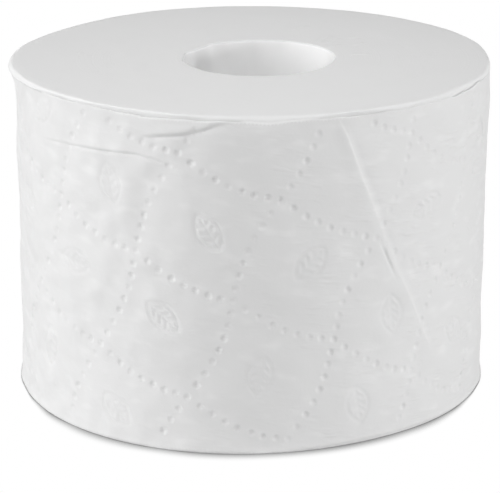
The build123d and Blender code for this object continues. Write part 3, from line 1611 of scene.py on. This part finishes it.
@dataclass(frozen=True)
class Embossing:
    """What the stamps do to the outer turn, worked out by Geometry Nodes.

    A dot is flat in the middle and a leaf's line is sharp. Between the dots the two plies puff up, and the
    paper is a little uneven everywhere.
    """

    dot_floor: float = 0.3 * MM
    dot_radius: float = 1.2 * MM
    dot_depth: float = 0.34 * MM
    leaf_line: float = 0.85 * MM
    leaf_depth: float = 0.22 * MM
    puff: float = 0.3 * MM
    puff_reach: float = 9.0 * MM
    mottle: float = 0.28 * MM
    mottle_scale: float = 8.0 * MM

    def press(
        self, roll: bpy.types.Object, dots: bpy.types.Object, leaves: bpy.types.Object,
        face: bpy.types.Material, edges: bpy.types.Material, inner: bpy.types.Material,
    ) -> None:
        """Presses the stamps in the outer turn, and gives the roll its materials.

        Args:
            roll: The wound roll.
            dots: The stamped dots.
            leaves: The stamped leaves.
            face: Material of the paper's face.
            edges: Material of its cut edges.
            inner: Material of the innermost turn, in the hole, painted paler as painted light.
        """
        values = {
            "Dot floor": self.dot_floor,
            "Dot radius": self.dot_radius,
            "Dot depth": self.dot_depth,
            "Leaf middle": 0.0,
            "Leaf line": self.leaf_line,
            "Leaf depth": self.leaf_depth,
            "Puff": self.puff,
            "Puff reach": self.puff_reach,
            "Mottle": self.mottle,
            "Mottle scale": 1 / self.mottle_scale,
        }
        tree = bpy.data.node_groups.new("pressed_paper", "GeometryNodeTree")
        add = partial(add_node, tree)
        for way in ("INPUT", "OUTPUT"):
            tree.interface.new_socket("Geometry", in_out=way, socket_type="NodeSocketGeometry")
        for name in values:
            tree.interface.new_socket(name, in_out="INPUT", socket_type="NodeSocketFloat")
        given = add("NodeGroupInput")
        size = given.outputs
        flat = add("GeometryNodeInputNamedAttribute", {"Name": "flat"}, data_type="FLOAT_VECTOR")
        sheet, hole, force = (
            add("GeometryNodeInputNamedAttribute", {"Name": name}, data_type="FLOAT")
            for name in ("sheet", "hole", "force")
        )
        gaps, marks = [], []
        for stamp, kind, near, far, depth in (
            (dots, "POINTS", "Dot floor", "Dot radius", "Dot depth"),
            (leaves, "EDGES", "Leaf middle", "Leaf line", "Leaf depth"),
        ):
            drawn = add("GeometryNodeObjectInfo", {"Object": stamp}).outputs["Geometry"]
            sample = {"Geometry": drawn, "Sample Position": flat}
            gaps.append(add("GeometryNodeProximity", sample, target_element=kind).outputs["Distance"])
            nearest = add("GeometryNodeSampleNearest", sample, domain="POINT")
            own_force = add(
                "GeometryNodeSampleIndex", {"Geometry": drawn, "Value": force, "Index": nearest},
                data_type="FLOAT", domain="POINT",
            )
            mark = add(
                "ShaderNodeMapRange",
                {"Value": gaps[-1], "From Min": size[near], "From Max": size[far], "To Min": size[depth],
                 "To Max": 0.0}, interpolation_type="SMOOTHSTEP",
            )
            marks.append(add("ShaderNodeMath", {0: mark, 1: own_force}, operation="MULTIPLY"))
        puff = add(
            "ShaderNodeMapRange",
            {"Value": gaps[0], "From Min": size["Dot radius"], "From Max": size["Puff reach"], "To Min": 0.0,
             "To Max": size["Puff"]}, interpolation_type="SMOOTHSTEP",
        )
        mottle = add("ShaderNodeTexNoise", {"Vector": flat, "Scale": size["Mottle scale"], "Detail": 1.0})
        mottle = add("ShaderNodeMapRange", {"Value": mottle, "To Min": -1.0, "To Max": 1.0})
        mottle = add("ShaderNodeMath", {0: mottle, 1: size["Mottle"]}, operation="MULTIPLY")
        pressed = add("ShaderNodeMath", {0: marks[0], 1: marks[1]}, operation="MAXIMUM")
        lift = add("ShaderNodeMath", {0: puff, 1: pressed}, operation="SUBTRACT")
        lift = add("ShaderNodeMath", {0: lift, 1: mottle}, operation="ADD")
        lift = add("ShaderNodeMath", {0: lift, 1: sheet}, operation="MULTIPLY")
        spot = add("GeometryNodeInputPosition")
        level = add("ShaderNodeVectorMath", {0: spot, 1: (1.0, 1.0, 0.0)}, operation="MULTIPLY")
        outward = add("ShaderNodeVectorMath", {0: level}, operation="NORMALIZE")
        offset = add("ShaderNodeVectorMath", {0: outward, "Scale": lift}, operation="SCALE")
        paper = add("GeometryNodeSetPosition", {"Geometry": given, "Offset": offset})
        # The hole's wall gets the innermost turn's paler colour: painted light for the light that comes
        # through the thin paper and bounces round inside the hole.
        for material, where in ((edges, True), (inner, hole), (face, sheet)):
            paper = add(
                "GeometryNodeSetMaterial", {"Geometry": paper, "Selection": where, "Material": material}
            )
        add("NodeGroupOutput", {0: add("GeometryNodeRealizeInstances", {0: paper})})
        run_tree(roll, tree, values)


@dataclass(frozen=True)
class Lamp:
    """A square soft light, with its place and side length in metres."""

    name: str
    place: tuple[float, float, float]
    side: float
    watts: float

    def hang(self, aim: Vector) -> None:
        """Hangs the lamp.

        Args:
            aim: The place that it faces.
        """
        data = bpy.data.lights.new(self.name, "AREA")
        data.size = self.side
        data.energy = self.watts
        made = placed(self.name, data)
        made.location = self.place
        made.rotation_euler = (aim - Vector(self.place)).to_track_quat("-Z", "Y").to_euler()


@dataclass(frozen=True)
class Studio:
    """A pale floor, soft lights from both sides and the photograph's viewpoint.

    The shadow at the roll's foot reaches out most in front: contact_turn gives the directions, as how far
    back they point, from which it widens and at which it is widest. contact_open gives the open shares of the
    sky at which it is at its darkest, contact_tone, and gone.
    """

    distance: float = 667.4 * MM
    elevation: float = math.radians(18.155)
    target: tuple[float, float, float] = (-0.55 * MM, 0.0, 36.4 * MM)
    lens_mm: float = 165.3
    sensor_mm: float = 36.0
    floor_radius: float = 6.0
    floor_colour: str = "#E0E0E0"
    contact_reach: float = 5 * MM
    contact_least: float = 0.1
    contact_turn: tuple[float, float] = (-0.3, -0.85)
    contact_tone: float = 0.28
    contact_open: tuple[float, float] = (0.5, 0.97)
    sky: float = 0.35
    aim: tuple[float, float, float] = (0.0, 0.0, 0.04)
    lamps: tuple[Lamp, ...] = (
        Lamp("left_softbox", (-1.15, -0.2, 0.3), side=0.8, watts=10.2),
        Lamp("right_softbox", (1.18, -0.21, 0.08), side=0.4, watts=9.3),
        Lamp("front_softbox", (0.0, -0.8, 0.85), side=0.6, watts=4.0),
        Lamp("top_light", (-0.01, -0.06, 0.39), side=0.1, watts=0.29),
    )

    def camera(self) -> None:
        """Sets the camera at the photograph's viewing angle."""
        data = bpy.data.cameras.new("camera")
        data.lens = self.lens_mm
        data.sensor_width = self.sensor_mm
        made = placed("camera", data)
        back = Vector((0.0, -math.cos(self.elevation), math.sin(self.elevation)))
        made.location = Vector(self.target) + back * self.distance
        made.rotation_euler = (math.pi / 2 - self.elevation, 0.0, 0.0)
        bpy.context.scene.camera = made

    def _floor_paint(self) -> bpy.types.Material:
        """Makes the floor's material: matt white paper, white to the camera, with a painted shadow at the
        roll's foot.

        Returns:
            The material.
        """
        paint = bpy.data.materials.new("white_sweep_paper")
        add = partial(add_node, empty_tree(paint))
        ray = add("ShaderNodeLightPath").outputs
        seen = add("ShaderNodeMath", {0: ray["Is Camera Ray"], 1: ray["Is Glossy Ray"]}, operation="MAXIMUM")
        place = add("ShaderNodeTexCoord").outputs["Object"]
        way = add("ShaderNodeVectorMath", {0: place}, operation="NORMALIZE")
        forward = add("ShaderNodeSeparateXYZ", {0: way}).outputs[1]
        start, end = self.contact_turn
        reach = add(
            "ShaderNodeMapRange",
            {"Value": forward, "From Min": start, "From Max": end,
             "To Min": self.contact_least * self.contact_reach, "To Max": self.contact_reach},
            interpolation_type="SMOOTHSTEP",
        )
        sky_seen = add("ShaderNodeAmbientOcclusion", {"Distance": reach}, samples=16).outputs["AO"]
        low, high = self.contact_open
        # Painted shadow: the floor's glow to the camera darkens where the ambient occlusion finds the sky
        # blocked near the roll's foot.
        white = add(
            "ShaderNodeMapRange",
            {"Value": sky_seen, "From Min": low, "From Max": high, "To Min": self.contact_tone,
             "To Max": 1.0},
        )
        plain = add("ShaderNodeBsdfDiffuse", {"Color": linear(self.floor_colour)})
        bright = add("ShaderNodeEmission", {"Strength": white})
        shader = add("ShaderNodeMixShader", {0: seen, 1: plain, 2: bright})
        add("ShaderNodeOutputMaterial", {"Surface": shader})
        return paint

    def floor(self) -> None:
        """Lays the floor."""
        mesh = bpy.data.meshes.new("studio_floor")
        work = bmesh.new()
        bmesh.ops.create_circle(work, cap_ends=True, segments=64, radius=self.floor_radius)
        work.to_mesh(mesh)
        work.free()
        mesh.materials.append(self._floor_paint())
        made = placed("studio_floor", mesh)

    def sky_light(self) -> None:
        """Lights everything evenly, and shows white behind the floor."""
        world = bpy.data.worlds.new("studio_sky")
        bpy.context.scene.world = world
        add = partial(add_node, empty_tree(world))
        ray = add("ShaderNodeLightPath").outputs
        seen = ray["Is Camera Ray"]
        strength = add("ShaderNodeMapRange", {"Value": seen, "To Min": self.sky, "To Max": 1.0})
        light = add("ShaderNodeBackground", {"Strength": strength})
        add("ShaderNodeOutputWorld", {"Surface": light})

    def set_up(self) -> None:
        """Builds the whole studio."""
        self.floor()
        self.sky_light()
        for lamp in self.lamps:
            lamp.hang(Vector(self.aim))
        self.camera()
        bpy.context.scene.view_settings.view_transform = "Standard"


def main() -> None:
    """Builds the roll and the studio."""
    logging.basicConfig(level=logging.INFO, format="%(message)s")
    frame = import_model()
    size = RollSize.from_frame(frame)
    rim, foot, hole = Rim(size), Foot(), Hole(size)
    strip = Strip(size, foot.softness, rim.sheet_top)
    quilting = Quilting(size, strip.start)
    dots = quilting.object(Stamp.DOTS)
    leaves = quilting.object(Stamp.LEAVES)
    LOG.info("stamps: %d dots, %d leaf edges", len(dots.data.vertices), len(leaves.data.edges))
    roll = WoundPaper(size, strip, rim, foot, hole).build(dots, leaves)
    face, edges, inner = (finish.material() for finish in (TissueFinish(), CutEdgeFinish(), INNERMOST_TURN_PAINTED_LIGHT))
    Embossing().press(roll, dots, leaves, face, edges, inner)
    for stamp in (dots, leaves):
        bpy.data.objects.remove(stamp)
    LOG.info("pressed roll: %d points, %d faces", len(roll.data.vertices), len(roll.data.polygons))
    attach(roll, "root")
    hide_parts(NODE)
    Studio().set_up()


if __name__ == "__main__":
    main()
